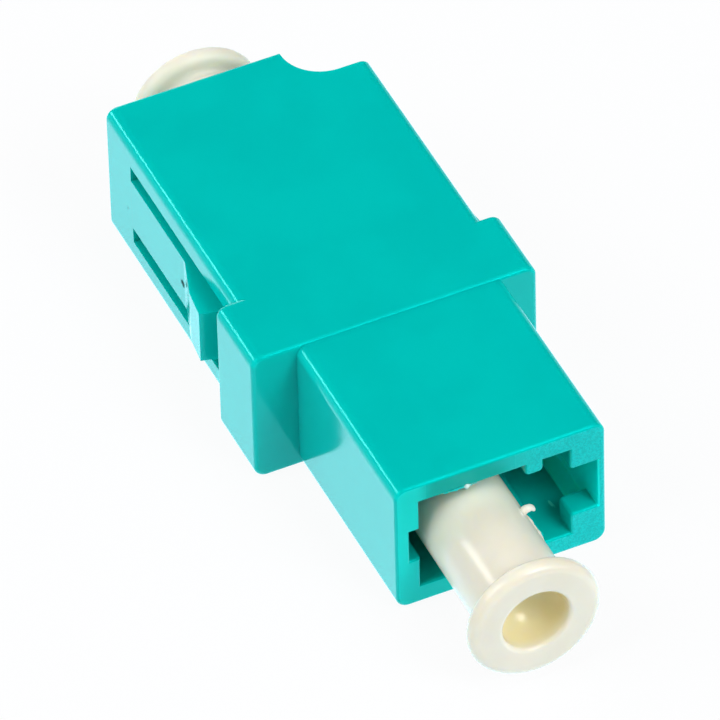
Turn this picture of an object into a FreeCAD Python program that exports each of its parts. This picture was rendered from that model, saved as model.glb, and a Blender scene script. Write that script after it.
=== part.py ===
import FreeCAD, Part
import math
import os

from FreeCAD import Vector

# A fibre optic adapter lying on its side. Two moulded housing halves are welded together and hold a split
# alignment sleeve between them, and a push-on dust cap closes each connector port. Sizes are millimetres.
# The origin is the optical centre, where the two ferrules meet, half-way through the flange. -Y leaves the
# front port, +X is the side of the connector latches and +Z is up.

# Connector port, the same at both ends. Heights run along Z, and offsets are measured from the port axis.
port_height = 4.72
port_side = 2.36
rail_offset = 2.42
rail_width = 0.82
rail_height = 0.58
rail_edge = 0.20
lug_channel = 1.22
latch_space = 1.24
latch_gap = 2.56
latch_reach = 10.265
shoulder_thickness = 1.10
shoulder_edge = 0.15
key_depth = 0.46
key_height = 1.64

# Housing walls, flange and outer edges
roof_wall = 1.03
front_side_wall = 1.09
front_latch_wall = 0.35
front_corner_fill = 0.50
front_step = 0.06
flange_thickness = 3.61
flange_lip = 0.83
rear_overhang = 3.48
top_edge_radius = 0.52
front_top_radius = 0.54
bottom_edge_radius = 0.55
end_edge_radius = 0.15
flange_edge_radius = 0.18
mouth_break = 0.12

# Latch-side notch at the rear end, which lets a finger reach the connector's latch
notch_depth = 2.04
notch_radius = 1.85
notch_flat = 1.45

# Panel tongues in the side walls of the rear box
tongue_thickness = 0.75
tongue_height = 2.70
tongue_root = 2.50
tongue_slot = 0.82
flex_gap = 0.70
key_wall = 0.37
latch_relief = 0.25
panel_gap = 1.90
window_margin = 0.50
bump_height = 0.78
bump_length = 3.15
bump_crest = 1.30
bump_shoulder = 0.62
bump_blend = 0.90
lock_slant = 0.40

# Weld between the halves
web_thickness = 1.40
spigot_wall = 0.28
weld_clearance = 0.04

# Alignment sleeve and the hub that holds it
sleeve_bore = 1.25
sleeve_wall = 0.175
sleeve_length = 6.80
sleeve_slit = 0.30
sleeve_float = 0.06
sleeve_end_play = 0.10
hub_wall = 0.61
hub_lip = 1.50
entry_clearance = 0.075
entry_flare = 0.25

# Dust cap
cap_clearance = 0.05
lean_clearance = 0.015
cap_standoff = 1.20
stem_wall = 0.51
stem_draft = 0.07
stem_fillet = 0.30
head_rim = 0.85
head_thickness = 0.84
head_gap = 1.83
recess_radius = 1.50
recess_depth = 2.00
recess_edge = 0.20
cap_web = 1.00
rear_cap_push = 0.23

# Places that follow from the sizes above
half_port = port_height / 2
half_body = half_port + roof_wall
half_flange = flange_thickness / 2
shoulder_offset = rail_offset + rail_width + lug_channel
latch_wall = shoulder_offset + latch_space
port_face = latch_reach + shoulder_thickness
rear_end = port_face + rear_overhang
front_left = -port_side - front_side_wall
front_right = latch_wall + front_latch_wall
rear_left = -port_side - key_depth - key_wall - flex_gap - tongue_thickness
rear_right = latch_wall + latch_relief + tongue_thickness
sleeve_radius = sleeve_bore / 2 + sleeve_wall
pocket_radius = sleeve_radius + sleeve_float
pocket_reach = sleeve_length / 2 + sleeve_end_play
hub_radius = pocket_radius + hub_wall
hub_reach = pocket_reach + hub_lip
entry_radius = sleeve_bore / 2 + entry_clearance
cap_tip = web_thickness + cap_standoff

# How far a cut runs past the face that it opens
past = 1.0


def block(x_low, x_high, y_low, y_high, z_low, z_high):
    """A plain box between two corners."""
    return Part.makeBox(x_high - x_low, y_high - y_low, z_high - z_low, Vector(x_low, y_low, z_low))


def rod(radius, y_low, y_high):
    """A cylinder on the port axis."""
    return Part.makeCylinder(radius, y_high - y_low, Vector(0, y_low, 0), Vector(0, 1, 0))


def to_front(shape):
    """The same shape turned to the front end, as a mirror image in the plane of the optical centre."""
    return shape.mirror(Vector(0, 0, 0), Vector(0, 1, 0))


def up_and_down(shape):
    """The shape with its mirror image below the port axis."""
    return shape.fuse(shape.mirror(Vector(0, 0, 0), Vector(0, 0, 1)))


def near(value, target):
    """Whether two lengths are the same to a ten-thousandth of a millimetre."""
    return abs(value - target) < 1e-4


def round_along(bar, radius, height, sides):
    """The bar with its edges along Y rounded where they lie at a height and on one of the given sides."""
    corners = [
        edge
        for edge in bar.Edges
        if near(edge.CenterOfMass.z, height) and any(near(edge.CenterOfMass.x, side) for side in sides)
    ]
    return bar.makeFillet(radius, corners)


def rounded_bar(x_low, x_high, y_low, y_high, half_height, top_radius):
    """A bar along Y whose long edges are rounded, less on top than underneath."""
    bar = block(x_low, x_high, y_low, y_high, -half_height, half_height)
    bar = round_along(bar, top_radius, half_height, (x_low, x_high))
    return round_along(bar, bottom_edge_radius, -half_height, (x_low, x_high))


def round_end(shape, radius, y_end):
    """The shape with the outer edges of its end face at y_end slightly rounded."""
    rim = [
        edge
        for edge in shape.Edges
        if near(edge.BoundBox.YMin, y_end) and near(edge.BoundBox.YMax, y_end)
    ]
    return shape.makeFillet(radius, rim)


def break_mouth(shape, y_end):
    """The shape with the edges of the port's mouth in its end face at y_end slightly rounded."""
    port_left = -port_side - key_depth
    rim = [
        edge
        for edge in shape.Edges
        if near(edge.BoundBox.YMin, y_end)
        and near(edge.BoundBox.YMax, y_end)
        and max(abs(edge.BoundBox.ZMin), abs(edge.BoundBox.ZMax)) < half_port + mouth_break
        and edge.BoundBox.XMin > port_left - mouth_break
    ]
    return shape.makeFillet(mouth_break, rim)


def port_cavity(mouth):
    """The space inside a port from its inner wall out to the mouth, around the hub, rails and shoulders."""
    space = block(-port_side, latch_wall, web_thickness, mouth, -half_port, half_port)
    key = block(-port_side - key_depth, 0, web_thickness, mouth, -key_height / 2, key_height / 2)
    rail_tip = half_port - rail_height
    rail_end = rail_offset + rail_width
    rail = block(rail_offset, rail_end, 0, port_face, rail_tip, half_port + past)
    rail = round_along(rail, rail_edge, rail_tip, (rail_offset, rail_end))
    shoulder = block(
        shoulder_offset, latch_wall + past, latch_reach, port_face, latch_gap / 2, half_port + past
    )
    shoulder = round_along(shoulder, shoulder_edge, latch_gap / 2, (shoulder_offset,))
    space = space.fuse(key)
    space = space.cut(up_and_down(rail))
    space = space.cut(up_and_down(shoulder))
    return space.cut(rod(hub_radius, 0, hub_reach))


def corner_fill():
    """The slanted fill in the latch-side corners of the front port, which stiffens the thin wall there."""
    inner = latch_wall - front_corner_fill
    outer = latch_wall + past
    foot = half_port - front_corner_fill
    top = half_port + past
    outline = Part.makePolygon(
        [
            Vector(inner, web_thickness, half_port),
            Vector(latch_wall, web_thickness, foot),
            Vector(outer, web_thickness, foot),
            Vector(outer, web_thickness, top),
            Vector(inner, web_thickness, top),
            Vector(inner, web_thickness, half_port),
        ]
    )
    return up_and_down(Part.Face(outline).extrude(Vector(0, latch_reach - web_thickness, 0)))


def hub_bore():
    """The sleeve's pocket in one half hub, and the funnel that leads a ferrule in past the lip that keeps the
    sleeve there."""
    pocket = rod(pocket_radius, -past, pocket_reach)
    funnel = Part.makeCone(
        entry_radius,
        entry_radius + entry_flare,
        hub_lip,
        Vector(0, pocket_reach, 0),
        Vector(0, 1, 0),
    )
    return pocket.fuse(funnel)


def spigot(clearance):
    """The plug of the front half that sits in the flange, grown on every side by a clearance."""
    side = spigot_wall + clearance
    return block(
        -port_side - key_depth - side,
        latch_wall + side,
        -half_flange,
        -weld_clearance + clearance,
        -half_port - side,
        half_port + side,
    )


def notch():
    """The cut at the latch corner of the rear end: a straight set-back that sweeps up in a hollow arc."""
    floor = rear_end - notch_depth
    start = rear_right - notch_flat
    outer = rear_right + past
    top = rear_end + past
    rise = floor + notch_radius
    corner = start - notch_radius
    middle = notch_radius * math.sin(math.pi / 4)
    arc = Part.Arc(
        Vector(start, floor, 0),
        Vector(start - middle, rise - middle, 0),
        Vector(corner, rise, 0),
    ).toShape()
    straight = Part.makePolygon(
        [
            Vector(corner, rise, 0),
            Vector(corner, top, 0),
            Vector(outer, top, 0),
            Vector(outer, floor, 0),
            Vector(start, floor, 0),
        ]
    )
    outline = Part.Face(Part.Wire([arc] + straight.Edges))
    cut = outline.extrude(Vector(0, 0, 2 * half_body + 2 * past))
    return cut.translated(Vector(0, 0, -half_body - past))


def tongue(root):
    """One panel tongue, held at its root, as if in the left wall with the wall's outer face at x = 0."""
    tip = half_flange + panel_gap
    ramp_foot = tip + bump_length
    ramp_top = tip + bump_crest
    outline = Part.makePolygon(
        [
            Vector(tongue_thickness, root + tongue_thickness, 0),
            Vector(tongue_thickness, tip - lock_slant, 0),
            Vector(-bump_height, tip, 0),
            Vector(-bump_shoulder, ramp_top, 0),
            Vector(0, ramp_foot, 0),
            Vector(0, root + tongue_thickness, 0),
            Vector(tongue_thickness, root + tongue_thickness, 0),
        ]
    )
    solid = Part.Face(outline).extrude(Vector(0, 0, tongue_height))
    bends = [
        edge
        for edge in solid.Edges
        if near(edge.BoundBox.ZLength, tongue_height)
        and (near(edge.CenterOfMass.y, ramp_top) or near(edge.CenterOfMass.y, ramp_foot))
    ]
    solid = solid.makeFillet(bump_blend, bends)
    return solid.translated(Vector(0, 0, -tongue_height / 2))


def tongue_window(root, depth, channel_end):
    """The slots around a tongue and the space behind it, which may run on past the root as a channel."""
    half_window = tongue_height / 2 + tongue_slot
    inner = tongue_thickness + depth
    start = half_flange + window_margin
    slots = block(-past, inner, start, root, -half_window, half_window)
    behind = block(tongue_thickness, inner, start, channel_end, -half_window, half_window)
    return slots.fuse(behind)


def on_left(shape):
    """A tongue shape moved to the rear box's left wall."""
    return shape.translated(Vector(rear_left, 0, 0))


def on_right(shape):
    """A tongue shape turned over and moved to the rear box's right wall."""
    return shape.mirror(Vector(0, 0, 0), Vector(1, 0, 0)).translated(Vector(rear_right, 0, 0))


def make_rear_housing():
    """The rear moulding: flange, rear box with its port and tongues, and the rear half of the hub."""
    box = rounded_bar(rear_left, rear_right, 0, rear_end, half_body, top_edge_radius)
    box = box.cut(notch())
    box = round_end(box, end_edge_radius, rear_end)
    flange_left = rear_left - flange_lip
    flange_right = rear_right + flange_lip
    flange = rounded_bar(flange_left, flange_right, -half_flange, half_flange, half_body, top_edge_radius)
    flange = round_end(flange, flange_edge_radius, -half_flange)
    flange = round_end(flange, flange_edge_radius, half_flange)
    body = flange.fuse(box)
    body = body.cut(port_cavity(rear_end + past))
    body = body.cut(spigot(weld_clearance))
    body = body.cut(hub_bore())
    left_root = rear_end - tongue_root
    right_root = rear_end - notch_depth - tongue_root
    body = body.cut(on_left(tongue_window(left_root, flex_gap, rear_end + past)))
    body = body.fuse(on_left(tongue(left_root)))
    body = body.cut(on_right(tongue_window(right_root, latch_relief, right_root)))
    body = body.fuse(on_right(tongue(right_root)))
    return break_mouth(body.removeSplitter(), rear_end)


def make_front_housing():
    """The front moulding: front box with its port, the spigot in the flange and the front half of the hub."""
    bar = rounded_bar(
        front_left, front_right, -port_face, -half_flange, half_body - front_step, front_top_radius
    )
    bar = round_end(bar, end_edge_radius, -port_face)
    body = bar.fuse(spigot(0))
    cavity = port_cavity(port_face + past).cut(corner_fill())
    body = body.cut(to_front(cavity))
    body = body.cut(to_front(hub_bore()))
    return break_mouth(body.removeSplitter(), -port_face)


def make_split_sleeve():
    """The alignment sleeve: a thin tube with one slit along it, so that it grips the ferrules."""
    tube = rod(sleeve_radius, -sleeve_length / 2, sleeve_length / 2)
    tube = tube.cut(rod(sleeve_bore / 2, -sleeve_length, sleeve_length))
    slit = block(0, sleeve_radius + past, -sleeve_length, sleeve_length, -sleeve_slit / 2, sleeve_slit / 2)
    return tube.cut(slit)


def make_dust_cap():
    """A cap pushed straight into the rear port: a hollow drafted stem that goes over the hub, and a round
    head with a blind recess."""
    tip = cap_tip
    bore = hub_radius + cap_clearance
    stem_tip = bore + stem_wall
    stem_root = stem_tip + stem_draft
    head_radius = stem_root + head_rim
    underside = rear_end + head_gap
    face = underside + head_thickness
    rim = head_thickness / 2
    rim_centre = head_radius - rim
    bore_end = face - recess_depth - cap_web
    bowl = face - recess_depth + recess_radius
    slant = math.sin(math.pi / 4)
    fillet_inside = stem_fillet * (1 - slant)
    edge_inside = recess_edge * (1 - slant)
    fillet = Part.Arc(
        Vector(stem_root, underside - stem_fillet, 0),
        Vector(stem_root + fillet_inside, underside - fillet_inside, 0),
        Vector(stem_root + stem_fillet, underside, 0),
    )
    round_rim = Part.Arc(
        Vector(rim_centre, underside, 0),
        Vector(head_radius, underside + rim, 0),
        Vector(rim_centre, face, 0),
    )
    mouth = Part.Arc(
        Vector(recess_radius + recess_edge, face, 0),
        Vector(recess_radius + edge_inside, face - edge_inside, 0),
        Vector(recess_radius, face - recess_edge, 0),
    )
    bottom = Part.Arc(
        Vector(recess_radius, bowl, 0),
        Vector(recess_radius * slant, bowl - recess_radius * slant, 0),
        Vector(0, bowl - recess_radius, 0),
    )
    edges = [
        Part.LineSegment(Vector(bore, tip, 0), Vector(stem_tip, tip, 0)),
        Part.LineSegment(Vector(stem_tip, tip, 0), fillet.StartPoint),
        fillet,
        Part.LineSegment(fillet.EndPoint, round_rim.StartPoint),
        round_rim,
        Part.LineSegment(round_rim.EndPoint, mouth.StartPoint),
        mouth,
        Part.LineSegment(mouth.EndPoint, bottom.StartPoint),
        bottom,
        Part.LineSegment(bottom.EndPoint, Vector(0, bore_end, 0)),
        Part.LineSegment(Vector(0, bore_end, 0), Vector(bore, bore_end, 0)),
        Part.LineSegment(Vector(bore, bore_end, 0), Vector(bore, tip, 0)),
    ]
    outline = Part.Face(Part.Wire([edge.toShape() for edge in edges]))
    return outline.revolve(Vector(0, 0, 0), Vector(0, 1, 0), 360)


def leaning(cap):
    """The rear cap pushed in a little further than the front one and tipped towards the latch side, nearly as
    far as its play on the hub lets it."""
    tip = cap_tip - rear_cap_push
    grip = hub_reach - tip
    lean = math.degrees(math.atan((cap_clearance - lean_clearance) / (grip / 2)))
    middle = Vector(0, tip + grip / 2, 0)
    pushed = cap.translated(Vector(0, -rear_cap_push, 0))
    return pushed.rotated(middle, Vector(0, 0, 1), -lean)


dust_cap = make_dust_cap()
pieces = {
    "rear_housing": make_rear_housing(),
    "front_housing": make_front_housing(),
    "split_sleeve": make_split_sleeve(),
    "front_dust_cap": to_front(dust_cap),
    "rear_dust_cap": leaning(dust_cap),
}

os.makedirs("parts", exist_ok=True)
for name, shape in pieces.items():
    shape.exportStep(f"parts/{name}.step")
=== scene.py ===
import math

import bpy
import numpy as np
from mathutils import Matrix, Vector


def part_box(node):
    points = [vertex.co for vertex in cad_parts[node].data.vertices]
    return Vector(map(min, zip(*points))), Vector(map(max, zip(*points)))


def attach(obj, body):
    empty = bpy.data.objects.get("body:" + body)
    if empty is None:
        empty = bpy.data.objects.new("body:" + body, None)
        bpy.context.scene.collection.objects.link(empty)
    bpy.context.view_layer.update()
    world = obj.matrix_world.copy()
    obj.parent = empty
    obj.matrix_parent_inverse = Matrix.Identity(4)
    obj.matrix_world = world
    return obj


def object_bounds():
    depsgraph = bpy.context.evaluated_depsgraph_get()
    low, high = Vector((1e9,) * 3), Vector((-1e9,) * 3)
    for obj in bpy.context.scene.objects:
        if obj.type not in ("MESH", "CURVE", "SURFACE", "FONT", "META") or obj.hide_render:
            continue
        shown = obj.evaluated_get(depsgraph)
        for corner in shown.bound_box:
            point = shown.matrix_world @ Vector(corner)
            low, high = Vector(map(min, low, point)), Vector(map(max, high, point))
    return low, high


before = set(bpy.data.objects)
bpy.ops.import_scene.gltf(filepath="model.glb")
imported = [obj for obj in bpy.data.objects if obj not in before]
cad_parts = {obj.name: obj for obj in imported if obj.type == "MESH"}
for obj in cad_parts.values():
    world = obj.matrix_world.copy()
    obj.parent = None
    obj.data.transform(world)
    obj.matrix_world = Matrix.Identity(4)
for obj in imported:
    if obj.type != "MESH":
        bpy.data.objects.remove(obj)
cad_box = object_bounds()
mm = 0.001

# Split alignment sleeve: a slit tube of white zirconia that floats in the hub and lines up the two ferrules.
# It is fired and then ground, so it is dense and glossy, with faint grinding lines round it.


def join(tree, source, target):
    """Links an output socket to an input socket, or sets the input to a plain value."""
    if isinstance(source, bpy.types.NodeSocket):
        tree.links.new(source, target)
    else:
        target.default_value = source


def feed(tree, node, inputs):
    """Joins a node's named inputs to sockets or sets them to values; underscores stand for spaces."""
    for name, value in inputs.items():
        join(tree, value, node.inputs[name.replace("_", " ")])
    return node


def added(tree, kind, **inputs):
    """A new node of a kind, with its named inputs fed."""
    return feed(tree, tree.nodes.new(kind), inputs)


def worked_out(tree, operation, *terms):
    """The value of a Math node: the operation on sockets or plain numbers."""
    node = tree.nodes.new("ShaderNodeMath")
    node.operation = operation
    for term, socket in zip(terms, node.inputs):
        join(tree, term, socket)
    return node.outputs[0]


def noise(tree, place, waves, detail):
    """Smooth noise from 0 to 1, with so many waves to the metre and so many octaves of finer detail."""
    return added(tree, "ShaderNodeTexNoise", Vector=place, Scale=waves, Detail=detail).outputs["Fac"]


def between(tree, mask, low, high):
    """A colour that goes from low, where the mask is 0, to high, where it is 1."""
    node = tree.nodes.new("ShaderNodeMix")
    node.data_type = "RGBA"
    join(tree, mask, node.inputs[0])
    join(tree, low, node.inputs[6])
    join(tree, high, node.inputs[7])
    return node.outputs[2]


def finish_material(name):
    """A material with its node tree, its shader and the piece's own coordinates."""
    material = bpy.data.materials.new(name)
    material.use_nodes = True
    tree = material.node_tree
    shader = tree.nodes["Principled BSDF"]
    place = tree.nodes.new("ShaderNodeTexCoord").outputs["Object"]
    return material, tree, shader, place


def dress(node_name, material):
    """Gives a solid of the frame its finish."""
    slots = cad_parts[node_name].data.materials
    slots.clear()
    slots.append(material)


zirconia_white = (0.90, 0.88, 0.82, 1)
zirconia_shade = (0.80, 0.77, 0.69, 1)
zirconia_roughness = 0.10
zirconia_ior = 2.1
grinding_lines = 9000
grinding_stretch = (0.05, 1.0, 0.05)
grinding_depth = 0.0006 * mm
grinding_roughness = 0.12
fine_detail = 3.0

ground_zirconia, tree, shader, place = finish_material("ground_zirconia")
stretched = added(tree, "ShaderNodeMapping", Vector=place, Scale=grinding_stretch).outputs["Vector"]
lines = noise(tree, stretched, grinding_lines, fine_detail)
rough = worked_out(tree, "MULTIPLY_ADD", lines, grinding_roughness, zirconia_roughness)
relief = added(tree, "ShaderNodeBump", Height=lines, Distance=grinding_depth)
join(tree, between(tree, lines, zirconia_shade, zirconia_white), shader.inputs["Base Color"])
join(tree, rough, shader.inputs["Roughness"])
join(tree, relief.outputs["Normal"], shader.inputs["Normal"])
shader.inputs["IOR"].default_value = zirconia_ior
dress("split_sleeve", ground_zirconia)


# Housing halves: two aqua mouldings of stiff plastic, welded together at the flange round the sleeve.
# Their long faces come off a polished mould, and their end faces have the fine grit of a spark-eroded one.
# The left tongue has a witness line at its root, and a speck or two is trapped in the surface.


def stepped(tree, value, start, end):
    """A smooth step from 0 where the value is at start to 1 where it is at end."""
    node = added(tree, "ShaderNodeMapRange", Value=value, From_Min=start, From_Max=end)
    node.interpolation_type = "SMOOTHSTEP"
    return node.outputs["Result"]


def product(tree, first, *others):
    """Masks or numbers multiplied together."""
    for other in others:
        first = worked_out(tree, "MULTIPLY", first, other)
    return first


def opposite(tree, mask):
    """A mask that is 1 where the other is 0."""
    return worked_out(tree, "SUBTRACT", 1.0, mask)


def away_from(tree, value, middle):
    """How far a value lies from a middle, on either side."""
    return worked_out(tree, "ABSOLUTE", worked_out(tree, "SUBTRACT", value, middle))


def mixed(tree, mask, low, high):
    """A number that goes from low, where the mask is 0, to high, where it is 1."""
    node = tree.nodes.new("ShaderNodeMix")
    join(tree, mask, node.inputs[0])
    join(tree, low, node.inputs[2])
    join(tree, high, node.inputs[3])
    return node.outputs[0]


def vector_math(tree, operation, *terms):
    """The outputs of a Vector Math node: the operation on vector sockets."""
    node = tree.nodes.new("ShaderNodeVectorMath")
    node.operation = operation
    for term, socket in zip(terms, node.inputs):
        join(tree, term, socket)
    return node.outputs


def opened_group(name, vectors, numbers, results):
    """A new node group and its inner ends, with vector inputs, number inputs and number outputs so named."""
    group = bpy.data.node_groups.new(name, "ShaderNodeTree")
    for names, side, kind in (
        (vectors, "INPUT", "NodeSocketVector"),
        (numbers, "INPUT", "NodeSocketFloat"),
        (results, "OUTPUT", "NodeSocketFloat"),
    ):
        for socket_name in names:
            group.interface.new_socket(socket_name, in_out=side, socket_type=kind)
    inner = group.nodes.new("NodeGroupInput").outputs
    outer = group.nodes.new("NodeGroupOutput").inputs
    return group, inner, outer


def grouped(tree, group, **inputs):
    """The outputs of a new node that runs a group, with its named inputs fed."""
    node = tree.nodes.new("ShaderNodeGroup")
    node.node_tree = group
    return feed(tree, node, inputs).outputs


coarse_detail = 2.0
speck_edge_waves = 11000
speck_swell = 2.4
speck_shrink = -0.2
speck_core = 0.45


def moulding_grain():
    """A group that puts out the fine grain of a moulded skin and the broad cloud of its flow, both 0 to 1."""
    group, inner, outer = opened_group(
        "moulding_grain", ["Place"], ["Grain Scale", "Flow Scale"], ["Grain", "Flow"]
    )
    join(group, noise(group, inner["Place"], inner["Grain Scale"], coarse_detail), outer["Grain"])
    join(group, noise(group, inner["Place"], inner["Flow Scale"], fine_detail), outer["Flow"])
    return group


def trapped_speck():
    """A group that puts out a ragged spot: 1 at its centre and 0 past its radius, with an edge broken by
    noise."""
    group, inner, outer = opened_group("trapped_speck", ["Place", "Centre"], ["Radius"], ["Mask"])
    away = vector_math(group, "DISTANCE", inner["Place"], inner["Centre"])["Value"]
    ragged = noise(group, inner["Place"], speck_edge_waves, coarse_detail)
    swelling = worked_out(group, "MULTIPLY_ADD", ragged, speck_swell, speck_shrink)
    reach = product(group, inner["Radius"], swelling)
    join(group, stepped(group, away, reach, product(group, reach, speck_core)), outer["Mask"])
    return group


grain_group = moulding_grain()
speck_group = trapped_speck()

aqua = (0.0, 0.530, 0.485, 1)
aqua_flow = (0.0, 0.505, 0.465, 1)
# Pale aqua: a painted sheen on the matt end face and a painted highlight on the rounded long edges.
aqua_pale_sheen = (0.004, 0.700, 0.645, 1)
# Painted glow: a much lighter aqua for the thin latch wall inside the port, for light that comes through it.
aqua_painted_glow = (0.0, 0.930, 0.860, 1)
# Painted shade: the darker aqua of the strip over the mouth, shaded by the cap in front of it.
aqua_shaded_strip = (0.0, 0.420, 0.380, 1)
aqua_pit = (0.0, 0.490, 0.475, 1)
# The pale grains of the grit are partly painted glints.
aqua_grit_glint = (0.004, 0.640, 0.625, 1)
aqua_gloss_tint = (0.0, 0.95, 0.92, 1)
aqua_spread = (0.15, 1.0, 0.8)
aqua_glow = 0.4
aqua_depth = 0.7 * mm
plastic_ior = 1.5
skin_grain = 14000
skin_depth = 0.0007 * mm
skin_roughness = 0.11
flow_scale = 260
flow_roughness = 0.08
grit_grain = 15000
grit_depth = 0.006 * mm
grit_roughness = 0.50
plain_grit = 0.2

# Each pair is the value at which a mask is 0 and the value at which it is 1.
cloud_span = (0.35, 0.65)
grit_span = (0.34, 0.66)
end_skin = (0.012 * mm, 0.006 * mm)
latch_span = (1.0 * mm, 3.2 * mm)
strip_height = (2.10 * mm, 2.45 * mm)
strip_length = (-2.60 * mm, -1.60 * mm)
thin_corner = (7.48 * mm, 7.52 * mm)
thin_wall = (5.66 * mm, 5.68 * mm)
thin_skin = (5.90 * mm, 5.85 * mm)
port_inside = (2.44 * mm, 2.40 * mm)


def aqua_moulding(name, end_y):
    """Aqua plastic with a smooth skin, somewhat see-through. The thin latch wall inside the port is painted
    much
    lighter: a painted glow for light that comes through it. Its end face at end_y is matt and painted paler,
    partly a painted sheen, with a polished strip over the mouth painted darker as shade from the cap, and
    grit on the latch side whose pale grains are partly painted glints. The colour and the roughness come back
    unjoined, for the marks that each half adds to them."""
    material, tree, shader, place = finish_material(name)
    parts = added(tree, "ShaderNodeSeparateXYZ", Vector=place).outputs
    # The end face is painted paler, partly a painted sheen of its grit, and its strip over the mouth darker,
    # a painted shade from the cap.
    at_end = stepped(tree, away_from(tree, parts["Y"], end_y), *end_skin)
    latch_side = stepped(tree, parts["X"], *latch_span)
    over_mouth = stepped(tree, parts["Z"], *strip_height)
    along_strip = stepped(tree, parts["X"], *strip_length)
    polished = product(tree, over_mouth, along_strip, opposite(tree, latch_side))
    matt_end = product(tree, at_end, opposite(tree, polished))

    # The thin latch wall inside the port is masked here and painted much lighter: a painted glow for light
    # through it.
    off_axis = worked_out(tree, "ABSOLUTE", parts["Z"])
    on_corner = stepped(tree, worked_out(tree, "ADD", parts["X"], off_axis), *thin_corner)
    on_wall = stepped(tree, parts["X"], *thin_wall)
    in_port = stepped(tree, off_axis, *port_inside)
    to_skin = stepped(tree, parts["X"], *thin_skin)
    thin = product(tree, worked_out(tree, "MAXIMUM", on_corner, on_wall), in_port, to_skin)

    skin = grouped(tree, grain_group, Place=place, Grain_Scale=skin_grain, Flow_Scale=flow_scale)
    grit = stepped(tree, noise(tree, place, grit_grain, fine_detail), *grit_span)
    smooth_colour = between(tree, stepped(tree, skin["Flow"], *cloud_span), aqua_flow, aqua)
    # Painted glow on the thin latch wall.
    smooth_colour = between(tree, thin, smooth_colour, aqua_painted_glow)
    # End face: paler on the plain side, partly painted sheen; darker over the mouth, painted shade; pale grit
    # grains partly painted glints.
    grit_colour = between(tree, latch_side, aqua_pale_sheen, between(tree, grit, aqua_pit, aqua_grit_glint))
    end_colour = between(tree, polished, grit_colour, aqua_shaded_strip)
    colour = between(tree, at_end, smooth_colour, end_colour)

    smoothest = skin_roughness - 0.5 * flow_roughness
    smooth_rough = worked_out(tree, "MULTIPLY_ADD", skin["Flow"], flow_roughness, smoothest)
    rough = mixed(tree, matt_end, smooth_rough, grit_roughness)
    smooth_height = product(tree, skin["Grain"], skin_depth / grit_depth)
    coarseness = worked_out(tree, "MULTIPLY_ADD", latch_side, 1.0 - plain_grit, plain_grit)
    height = mixed(tree, product(tree, matt_end, coarseness), smooth_height, grit)
    relief = added(tree, "ShaderNodeBump", Height=height, Distance=grit_depth)
    join(tree, relief.outputs["Normal"], shader.inputs["Normal"])
    shader.inputs["IOR"].default_value = plastic_ior
    shader.inputs["Specular Tint"].default_value = aqua_gloss_tint
    shader.inputs["Subsurface Weight"].default_value = aqua_glow
    shader.inputs["Subsurface Radius"].default_value = aqua_spread
    shader.inputs["Subsurface Scale"].default_value = aqua_depth
    return material, tree, shader, place, parts, colour, rough


# The rounded long edges of both halves are painted paler: a painted highlight along them.
edge_highlight_share = 0.55
side_shares = (0.7, 0.2)
top_shares = (1.0, 0.6)


def long_edges(tree, parts, box_middle, half_width, half_height, radius):
    """A mask that is 1 on the rounded long edges of a bar along Y and 0 on its flat faces. It grows between
    two shares of the radius, measured in from the side faces and from the top and bottom."""
    outward = away_from(tree, parts["X"], box_middle)
    upward = worked_out(tree, "ABSOLUTE", parts["Z"])
    past_side = stepped(tree, outward, *(half_width - share * radius for share in side_shares))
    past_top = stepped(tree, upward, *(half_height - share * radius for share in top_shares))
    return product(tree, past_side, past_top)


rear_low, rear_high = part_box("rear_housing")
rear_middle = (rear_low.x + rear_high.x) / 2
flange_half_width = (rear_high.x - rear_low.x) / 2
flange_lip = 0.83 * mm
rear_half_width = flange_half_width - flange_lip
rear_edge_radius = 0.52 * mm
left_wall = rear_middle - rear_half_width
wall_skin = (left_wall + 0.02 * mm, left_wall + 0.01 * mm)
flange_rear = (1.85 * mm, 1.90 * mm)

witness_colour = (0.02, 0.44, 0.42, 1)
witness_share = 0.5
witness_y = 12.36 * mm
witness_line = (0.035 * mm, 0.0105 * mm)
witness_height = (1.36 * mm, 1.305 * mm)
# Painted light: a lighter aqua for the slots round the left tongue and its lock.
tongue_painted_light = (0.0, 0.600, 0.555, 1)
tongue_length = (witness_y, witness_y - 0.05 * mm)
tongue_depth = (-3.30 * mm, -3.40 * mm)
tongue_edge = (1.31 * mm, 1.33 * mm)
slot_edge = (2.18 * mm, 2.16 * mm)
lock_depth = (-4.40 * mm, -4.50 * mm)
lock_length = (4.00 * mm, 3.90 * mm)

dark_speck = Vector((left_wall, 7.13 * mm, -0.14 * mm))
dark_speck_radius = 0.24 * mm
dark_speck_colour = (0.02, 0.04, 0.03, 1)
faint_speck = Vector((left_wall, 12.80 * mm, -0.58 * mm))
faint_speck_radius = 0.07 * mm
faint_speck_colour = (0.05, 0.36, 0.34, 1)
speck_roughness = 0.9

rear_aqua, tree, shader, place, parts, colour, rough = aqua_moulding("aqua_rear_moulding", rear_high.y)
off_axis = worked_out(tree, "ABSOLUTE", parts["Z"])
behind_flange = stepped(tree, parts["Y"], *flange_rear)
box_edges = long_edges(tree, parts, rear_middle, rear_half_width, rear_high.z, rear_edge_radius)
flange_edges = long_edges(tree, parts, rear_middle, flange_half_width, rear_high.z, rear_edge_radius)
edges = worked_out(tree, "MAXIMUM", product(tree, box_edges, behind_flange), flange_edges)
# Painted highlight: the rounded long edges of the box and the flange are painted paler.
colour = between(tree, product(tree, edges, edge_highlight_share), colour, aqua_pale_sheen)

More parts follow.
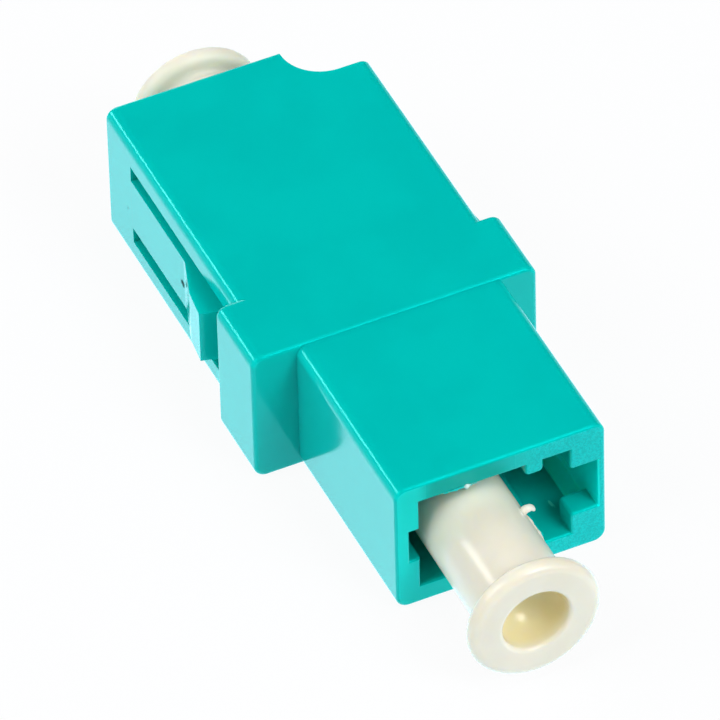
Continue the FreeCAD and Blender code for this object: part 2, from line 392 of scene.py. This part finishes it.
# The slots round the left tongue and its lock are painted lighter: painted light in these hollows.
past_tongue = stepped(tree, off_axis, *tongue_edge)
before_wall = stepped(tree, off_axis, *slot_edge)
outboard = stepped(tree, parts["X"], *tongue_depth)
along_tongue = stepped(tree, parts["Y"], *tongue_length)
in_slot = product(tree, past_tongue, before_wall, outboard, along_tongue)
on_lock = product(tree, stepped(tree, parts["X"], *lock_depth), stepped(tree, parts["Y"], *lock_length))
lit_tongue = product(tree, worked_out(tree, "MAXIMUM", in_slot, on_lock), behind_flange)
colour = between(tree, lit_tongue, colour, tongue_painted_light)

on_line = stepped(tree, away_from(tree, parts["Y"], witness_y), *witness_line)
on_root = stepped(tree, off_axis, *witness_height)
on_wall = stepped(tree, parts["X"], *wall_skin)
witness = product(tree, on_line, on_root, on_wall, witness_share)
colour = between(tree, witness, colour, witness_colour)

for centre, radius, stain in (
    (dark_speck, dark_speck_radius, dark_speck_colour),
    (faint_speck, faint_speck_radius, faint_speck_colour),
):
    speck = grouped(tree, speck_group, Place=place, Centre=centre, Radius=radius)["Mask"]
    colour = between(tree, speck, colour, stain)
    rough = worked_out(tree, "MAXIMUM", rough, product(tree, speck, speck_roughness))
join(tree, colour, shader.inputs["Base Color"])
join(tree, rough, shader.inputs["Roughness"])
dress("rear_housing", rear_aqua)

front_low, front_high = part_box("front_housing")
front_middle = (front_low.x + front_high.x) / 2
front_half_width = (front_high.x - front_low.x) / 2
front_edge_radius = 0.54 * mm
# Painted highlight: a small pale spot on the top-left corner of the end face.
corner_highlight = Vector((-3.34, -11.34, 3.30)) * mm
corner_highlight_radius = 0.13 * mm
corner_highlight_colour = (0.50, 0.86, 0.83, 1)
# A small pale streak, stretched along Y, on the floor of the port.
port_floor_streak = Vector((4.46, -9.45, -2.36)) * mm
port_floor_streak_radius = 0.09 * mm
streak_stretch = Vector((1.0, 0.25, 1.0))
streak_colour = (0.10, 0.80, 0.70, 1)

front_aqua, tree, shader, place, parts, colour, rough = aqua_moulding("aqua_front_moulding", front_low.y)
edges = long_edges(tree, parts, front_middle, front_half_width, front_high.z, front_edge_radius)
# Painted highlight: the rounded long edges of the front box are painted paler.
colour = between(tree, product(tree, edges, edge_highlight_share), colour, aqua_pale_sheen)
# Painted highlight on the top-left corner of the end face.
corner_highlight_mask = grouped(tree, speck_group, Place=place, Centre=corner_highlight, Radius=corner_highlight_radius)["Mask"]
colour = between(tree, corner_highlight_mask, colour, corner_highlight_colour)
# The small pale streak on the port floor.
stretched = added(tree, "ShaderNodeMapping", Vector=place, Scale=streak_stretch).outputs["Vector"]
streak_centre = port_floor_streak * streak_stretch
pale_streak = grouped(tree, speck_group, Place=stretched, Centre=streak_centre, Radius=port_floor_streak_radius)["Mask"]
colour = between(tree, pale_streak, colour, streak_colour)
join(tree, colour, shader.inputs["Base Color"])
join(tree, rough, shader.inputs["Roughness"])
dress("front_housing", front_aqua)


# Flash on the front mouth: a thin ragged fin of aqua plastic that squeezed out where the mould's core met its
# face. It was never trimmed from the upper edge, and it is torn white at one spot.

almost_nothing = 1e-4


def laid_grid(name, points):
    """A mesh over a grid of points (rows, columns, 3) whose rows are rings: quads join each ring to the next,
    and a fan of triangles closes the first and the last ring at its middle."""
    rows, columns = points.shape[:2]
    number = np.arange(rows * columns).reshape(rows, columns)
    ahead = np.roll(number, -1, axis=1)
    quads = np.stack([number[:-1], ahead[:-1], ahead[1:], number[1:]], axis=-1).reshape(-1, 4)
    pole = np.full(columns, rows * columns)
    opening_fan = np.stack([pole, ahead[0], number[0]], axis=-1)
    closing_fan = np.stack([pole + 1, number[-1], ahead[-1]], axis=-1)
    corners = np.concatenate([points.reshape(-1, 3), points[[0, -1]].mean(axis=1)])
    mesh = bpy.data.meshes.new(name)
    mesh.from_pydata(corners.tolist(), [], quads.tolist() + opening_fan.tolist() + closing_fan.tolist())
    mesh.polygons.foreach_set("use_smooth", np.ones(len(mesh.polygons), dtype=bool))
    mesh.update()
    piece = bpy.data.objects.new(name, mesh)
    bpy.context.scene.collection.objects.link(piece)
    return piece


def ring_grid(rows, columns):
    """The two parameters of a swept surface: how far along it, 0 to 1, and the turn round it in radians."""
    along = np.linspace(0.0, 1.0, rows)[:, None]
    turn = np.linspace(0.0, 2.0 * math.pi, columns, endpoint=False)[None, :]
    return along, turn


def ripple(along, waves, fading, seed):
    """A sum of sine waves of random phase over a length of 1. Each is divided by its number of waves to the
    power of the fading."""
    waves = np.array(waves)
    phases = np.random.default_rng(seed).uniform(0.0, 2.0 * math.pi, len(waves))
    return (np.sin(2.0 * math.pi * along * waves + phases) / waves**fading).sum(axis=1, keepdims=True)


def taper(along):
    """The root of half a sine wave over a length of 1, which falls to almost nothing at both ends."""
    return np.sqrt(np.sin(math.pi * np.clip(along, almost_nothing, 1.0 - almost_nothing)))


fin_ends = (-1.30 * mm, 0.25 * mm)
fin_y = -11.36 * mm
fin_z = 2.40 * mm
fin_height = 0.10 * mm
fin_depth = 0.06 * mm
fin_overhang = 0.6
fin_waves = (3.0, 7.0, 13.0, 29.0)
fin_fading = 0.5
fin_ripple = 0.45
fin_rings = 121
fin_sides = 14
fin_seed = 11
fin_tear = -0.21 * mm
tear_width = 0.11 * mm
tear_bulge = 1.5


def ragged_fin():
    """A blade along X. Its section is an ellipse whose height and depth are the fin's times 1 plus a ripple
    and a bell-shaped bulge at the tear, and both fall to nothing at the two ends."""
    along, turn = ring_grid(fin_rings, fin_sides)
    x = fin_ends[0] + along * (fin_ends[1] - fin_ends[0])
    bulge = np.exp(-(((x - fin_tear) / tear_width) ** 2))
    ragged = 1.0 + fin_ripple * ripple(along, fin_waves, fin_fading, fin_seed) + tear_bulge * bulge
    size = ragged * taper(along)
    y = fin_y - 0.5 * fin_depth * size * (fin_overhang + np.cos(turn))
    z = fin_z - 0.5 * fin_height * size * np.sin(turn)
    return np.stack(np.broadcast_arrays(x, y, z), axis=-1)


fin_aqua = (0.02, 0.62, 0.58, 1)
fin_white = (0.72, 0.88, 0.85, 1)
fin_roughness = 0.3
tear_waves = 9000
torn_reach = 0.34 * mm
torn_core = 0.06 * mm

mouth_flash = laid_grid("mouth_flash", ragged_fin())
torn_aqua, tree, shader, place = finish_material("torn_aqua")
parts = added(tree, "ShaderNodeSeparateXYZ", Vector=place).outputs
torn_edge = product(tree, noise(tree, place, tear_waves, coarse_detail), torn_reach)
torn = stepped(tree, away_from(tree, parts["X"], fin_tear), torn_edge, torn_core)
join(tree, between(tree, torn, fin_aqua, fin_white), shader.inputs["Base Color"])
shader.inputs["Roughness"].default_value = fin_roughness
shader.inputs["Specular Tint"].default_value = aqua_gloss_tint
mouth_flash.data.materials.append(torn_aqua)
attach(mouth_flash, "adapter")


# Dust caps: two soft ivory mouldings, pushed over the hub in each port to keep it clean.
# The plastic is a little see-through, so light softens in it. Its blind recess is painted warmer, a painted
# glow for light that passes through its walls.


def recess_depth():
    """A group that puts out how far a place lies inside a round recess: 0 outside it, 1 well down in it."""
    group, inner, outer = opened_group(
        "recess_depth", ["Place", "Mouth", "Outward"], ["Radius", "Lip", "Depth"], ["Mask"]
    )
    offset = vector_math(group, "SUBTRACT", inner["Mouth"], inner["Place"])["Vector"]
    inward = vector_math(group, "DOT_PRODUCT", offset, inner["Outward"])["Value"]
    sideways = vector_math(group, "CROSS_PRODUCT", offset, inner["Outward"])["Vector"]
    away = vector_math(group, "LENGTH", sideways)["Value"]
    rim = worked_out(group, "ADD", inner["Radius"], inner["Lip"])
    within = stepped(group, away, rim, inner["Radius"])
    down = stepped(group, inward, 0.0, inner["Depth"])
    join(group, product(group, within, down), outer["Mask"])
    return group


recess_group = recess_depth()

ivory = (0.83, 0.80, 0.69, 1)
ivory_cloud = (0.805, 0.77, 0.655, 1)
# Painted glow: a warmer ivory for the blind recess, for light that passes through the walls.
ivory_recess_glow = (0.87, 0.80, 0.515, 1)
ivory_spread = (1.0, 0.85, 0.55)
ivory_glow = 0.8
ivory_depth = 0.6 * mm
ivory_grain = 9000
ivory_grain_depth = 0.0006 * mm
ivory_flow = 420
ivory_flow_roughness = 0.06
handled_roughness = 0.22
scuffed_roughness = 0.42
recess_radius = 1.50 * mm
recess_lip = 0.12 * mm
recess_shade = 0.7 * mm


def soft_ivory(name, mouth, outward, roughness):
    """Ivory plastic for a cap whose recess has its mouth at a place and opens in a direction."""
    material, tree, shader, place = finish_material(name)
    skin = grouped(tree, grain_group, Place=place, Grain_Scale=ivory_grain, Flow_Scale=ivory_flow)
    recess = grouped(
        tree,
        recess_group,
        Place=place,
        Mouth=mouth,
        Outward=outward,
        Radius=recess_radius,
        Lip=recess_lip,
        Depth=recess_shade,
    )
    outside = between(tree, stepped(tree, skin["Flow"], *cloud_span), ivory_cloud, ivory)
    smoothest = roughness - 0.5 * ivory_flow_roughness
    rough = worked_out(tree, "MULTIPLY_ADD", skin["Flow"], ivory_flow_roughness, smoothest)
    relief = added(tree, "ShaderNodeBump", Height=skin["Grain"], Distance=ivory_grain_depth)
    # The recess is painted warmer: a painted glow.
    join(tree, between(tree, recess["Mask"], outside, ivory_recess_glow), shader.inputs["Base Color"])
    join(tree, rough, shader.inputs["Roughness"])
    join(tree, relief.outputs["Normal"], shader.inputs["Normal"])
    shader.inputs["IOR"].default_value = plastic_ior
    shader.inputs["Subsurface Weight"].default_value = ivory_glow
    shader.inputs["Subsurface Radius"].default_value = ivory_spread
    shader.inputs["Subsurface Scale"].default_value = ivory_depth
    return material


front_face = Vector((0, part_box("front_dust_cap")[0].y, 0))
front_axis = Vector((0, -1, 0))
rear_lean = math.radians(1.525)
rear_axis = Vector((math.sin(rear_lean), math.cos(rear_lean), 0))
rear_grip = Vector((0, 3.685, 0)) * mm
rear_reach = 13.6 * mm
rear_face = rear_grip + rear_reach * rear_axis

dress("front_dust_cap", soft_ivory("soft_ivory_front", front_face, front_axis, handled_roughness))
dress("rear_dust_cap", soft_ivory("soft_ivory_rear", rear_face, rear_axis, scuffed_roughness))


# Burr on the front cap: a curl of the same ivory plastic, scraped up from the stem by the edge of the port.
# From its root a ragged thread of flash runs along the stem's parting line towards the head. Both are too
# thin for light to soften in them.

burr_y = -12.62
burr_control = mm * np.array(
    [(1.62, burr_y, 0.98), (1.76, burr_y, 1.42), (2.08, burr_y, 1.44), (2.20, burr_y, 1.06)]
)
burr_half_width = 0.22 * mm
burr_half_thickness = 0.16 * mm
burr_narrowing = 0.30
burr_thinning = 0.40
burr_tip = 0.85
burr_wave = 0.022 * mm
burr_wave_turn = 9.0
burr_rings = 41
burr_sides = 20
stem_axis = np.array((0.0, 1.0, 0.0))


def curled_flake():
    """A flake swept along a cubic Bezier curve, whose four control points lie in a plane across the stem. Its
    section is an ellipse, wide along Y and thin across the curve, that narrows evenly and closes at the tip,
    and its middle sways along Y as a sine wave."""
    t, turn = ring_grid(burr_rings, burr_sides)
    p0, p1, p2, p3 = burr_control
    centre = (1 - t) ** 3 * p0 + 3 * (1 - t) ** 2 * t * p1 + 3 * (1 - t) * t**2 * p2 + t**3 * p3
    tangent = 3 * (1 - t) ** 2 * (p1 - p0) + 6 * (1 - t) * t * (p2 - p1) + 3 * t**2 * (p3 - p2)
    tangent /= np.linalg.norm(tangent, axis=1, keepdims=True)
    normal = np.cross(tangent, stem_axis)
    into_tip = np.clip((t - burr_tip) / (1.0 - burr_tip), 0.0, 1.0)
    closing = np.sqrt(np.clip(1.0 - into_tip**2, almost_nothing, 1.0))
    wide = burr_half_width * (1.0 - burr_narrowing * t) * closing * np.cos(turn)
    thin = burr_half_thickness * (1.0 - burr_thinning * t) * closing * np.sin(turn)
    sway = burr_wave * np.sin(burr_wave_turn * t)
    return centre[:, None, :] + normal[:, None, :] * thin[:, :, None] + stem_axis * (wide + sway)[:, :, None]


thread_angle = math.radians(24.0)
thread_ends = (-12.50 * mm, -14.20 * mm)
thread_height = 0.06 * mm
thread_thickness = 0.10 * mm
thread_waves = (2.0, 5.0, 11.0)
thread_fading = 1.0
thread_ripple = 0.6
thread_rings = 81
thread_sides = 12
thread_seed = 5
stem_radius = 2.017 * mm
stem_slope = 0.00508


def parting_thread():
    """A blade along a drafted stem, at an angle round it. Its section is an ellipse centred on the stem's
    skin, whose half height and half thickness are the thread's times 1 plus a ripple, and both fall to
    nothing at the two ends."""
    along, turn = ring_grid(thread_rings, thread_sides)
    size = (1.0 + thread_ripple * ripple(along, thread_waves, thread_fading, thread_seed)) * taper(along)
    y = thread_ends[0] + along * (thread_ends[1] - thread_ends[0])
    radius = stem_radius + stem_slope * np.abs(y) + thread_height * size * np.cos(turn)
    aside = thread_thickness * size * np.sin(turn)
    x = radius * math.cos(thread_angle) - aside * math.sin(thread_angle)
    z = radius * math.sin(thread_angle) + aside * math.cos(thread_angle)
    return np.stack(np.broadcast_arrays(x, y, z), axis=-1)


torn_ivory_pale = (0.83, 0.82, 0.73, 1)
torn_ivory_waves = 6000
torn_ivory_roughness = 0.30
frayed_roughness = 0.15

torn_ivory, tree, shader, place = finish_material("torn_ivory")
frayed = stepped(tree, noise(tree, place, torn_ivory_waves, fine_detail), *cloud_span)
rough = worked_out(tree, "MULTIPLY_ADD", frayed, frayed_roughness, torn_ivory_roughness)
join(tree, between(tree, frayed, ivory, torn_ivory_pale), shader.inputs["Base Color"])
join(tree, rough, shader.inputs["Roughness"])

burr = laid_grid("stem_burr", curled_flake())
thread = laid_grid("stem_thread", parting_thread())
for piece in (burr, thread):
    piece.data.materials.append(torn_ivory)
    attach(piece, "front_cap")


# Studio: a plain white floor under soft boxes, as for a catalogue picture. The floor is matt and keeps the
# part's shadow. Most of its whiteness, to the eye and in reflections, is its own, and so is half of the light
# that it throws back on the part. What the part reflects of it is a painted reflection: brighter than white
# and tinted blue-green near the part, and dimmer farther off.

white = (1, 1, 1, 1)
floor_half = 1.5
floor_white = (0.78, 0.83, 0.90, 1)
floor_glow = 0.93
floor_bounce = 0.50
# Painted reflection: the floor's colours in reflections only, brighter than white and blue-green near the
# part.
floor_sheen = (1.13, 1.79, 2.06, 1)
floor_far_sheen = (0.39, 0.63, 0.72, 1)
sheen_fade = (10 * mm, 20 * mm)

reach = floor_half * np.array([[-1, -1], [1, -1], [1, 1], [-1, 1]])
corners = np.column_stack([reach, np.full(len(reach), cad_box[0].z)])
floor_mesh = bpy.data.meshes.new("floor")
floor_mesh.from_pydata(corners.tolist(), [], [(0, 1, 2, 3)])
floor = bpy.data.objects.new("floor", floor_mesh)
bpy.context.scene.collection.objects.link(floor)


def seen_directly(tree):
    """The kinds of ray, and a mask that is 1 for those that show a surface to the eye, in a reflection or
    through something clear."""
    path = tree.nodes.new("ShaderNodeLightPath").outputs
    shown = worked_out(tree, "MAXIMUM", path["Is Camera Ray"], path["Is Glossy Ray"])
    return path, worked_out(tree, "MAXIMUM", shown, path["Is Transmission Ray"])


floor_paint = bpy.data.materials.new("white_floor")
floor_paint.use_nodes = True
tree = floor_paint.node_tree
tree.nodes.remove(tree.nodes["Principled BSDF"])
path, shown = seen_directly(tree)
place = tree.nodes.new("ShaderNodeTexCoord").outputs["Object"]
aside = worked_out(tree, "ABSOLUTE", added(tree, "ShaderNodeSeparateXYZ", Vector=place).outputs["X"])
sheen = between(tree, stepped(tree, aside, *sheen_fade), floor_sheen, floor_far_sheen)
matt = added(tree, "ShaderNodeBsdfDiffuse", Color=floor_white)
# Painted reflection: glossy rays see the tinted floor colour instead of white.
glow = added(tree, "ShaderNodeEmission", Color=between(tree, path["Is Glossy Ray"], white, sheen))
own_light = worked_out(tree, "MAXIMUM", product(tree, shown, floor_glow), floor_bounce)
blend = tree.nodes.new("ShaderNodeMixShader")
join(tree, own_light, blend.inputs[0])
join(tree, matt.outputs[0], blend.inputs[1])
join(tree, glow.outputs[0], blend.inputs[2])
join(tree, blend.outputs[0], tree.nodes["Material Output"].inputs["Surface"])
floor_mesh.materials.append(floor_paint)

room_light = 0.04
room_dark = 0.02
wall_span = (0.10, 0.0)

world = bpy.data.worlds.new("studio_room")
bpy.context.scene.world = world
world.use_nodes = True
tree = world.node_tree
sky = tree.nodes["Background"]
direction = tree.nodes.new("ShaderNodeTexCoord").outputs["Generated"]
wall = stepped(tree, added(tree, "ShaderNodeSeparateXYZ", Vector=direction).outputs["Z"], *wall_span)
path, shown = seen_directly(tree)
reflected = worked_out(tree, "MULTIPLY_ADD", wall, 1.0 - room_dark, room_dark)
visible = worked_out(tree, "MAXIMUM", path["Is Camera Ray"], reflected)
join(tree, mixed(tree, shown, room_light, visible), sky.inputs["Strength"])
sky.inputs["Color"].default_value = white


def soft_box(name, direction, distance, size, radiance):
    """A square lamp that faces the origin from a direction, with its power worked out from its brightness."""
    data = bpy.data.lights.new(name, "AREA")
    data.shape = "SQUARE"
    data.size = size
    data.energy = radiance * math.pi * size**2
    lamp = bpy.data.objects.new(name, data)
    outward = Vector(direction).normalized()
    facing = outward.to_track_quat("Z", "Y").to_matrix().to_4x4()
    lamp.matrix_world = Matrix.Translation(outward * distance) @ facing
    lamp.visible_camera = False
    bpy.context.scene.collection.objects.link(lamp)


soft_box("key_box", direction=(0.31, -0.66, 0.68), distance=0.60, size=0.24, radiance=9.0)
soft_box("top_box", direction=(0.15, -0.15, 0.97), distance=0.60, size=0.40, radiance=2.1)
soft_box("left_box", direction=(-0.75, 0.0, 0.66), distance=0.60, size=0.36, radiance=4.6)
soft_box("right_box", direction=(0.62, -0.66, 0.42), distance=0.60, size=0.36, radiance=1.6)
soft_box("back_box", direction=(0.0, 0.95, 0.31), distance=0.60, size=0.36, radiance=2.4)
soft_box("back_left_box", direction=(-0.63, 0.66, 0.405), distance=0.50, size=0.10, radiance=8.0)


# Camera: a long lens from the front left, looking down on the part as it lies.
# It stands well off, so the part's long edges stay nearly parallel.

view_azimuth = math.radians(-23.784)
view_elevation = math.radians(43.853)
view_roll = math.radians(-1.656)
view_target = Vector((-0.162, -0.825, 0.3875)) * mm
view_distance = 478.913 * mm
view_focal_pixels = 11557.491
frame_pixels = 720
nearest_seen = 0.01
farthest_seen = 10.0

backward = Vector(
    (
        math.sin(view_azimuth) * math.cos(view_elevation),
        -math.cos(view_azimuth) * math.cos(view_elevation),
        math.sin(view_elevation),
    )
)
level = (-backward).cross(Vector((0, 0, 1))).normalized()
upright = level.cross(-backward)
across = math.cos(view_roll) * level + math.sin(view_roll) * upright
upward = math.cos(view_roll) * upright - math.sin(view_roll) * level
axes = Matrix((across, upward, backward)).transposed().to_4x4()
lens = bpy.data.cameras.new("camera")
lens.sensor_width = 36.0
lens.lens = lens.sensor_width * view_focal_pixels / frame_pixels
lens.clip_start = nearest_seen
lens.clip_end = farthest_seen
camera = bpy.data.objects.new("camera", lens)
camera.matrix_world = Matrix.Translation(view_target + backward * view_distance) @ axes
bpy.context.scene.collection.objects.link(camera)
bpy.context.scene.camera = camera
bpy.context.scene.view_settings.view_transform = "Standard"
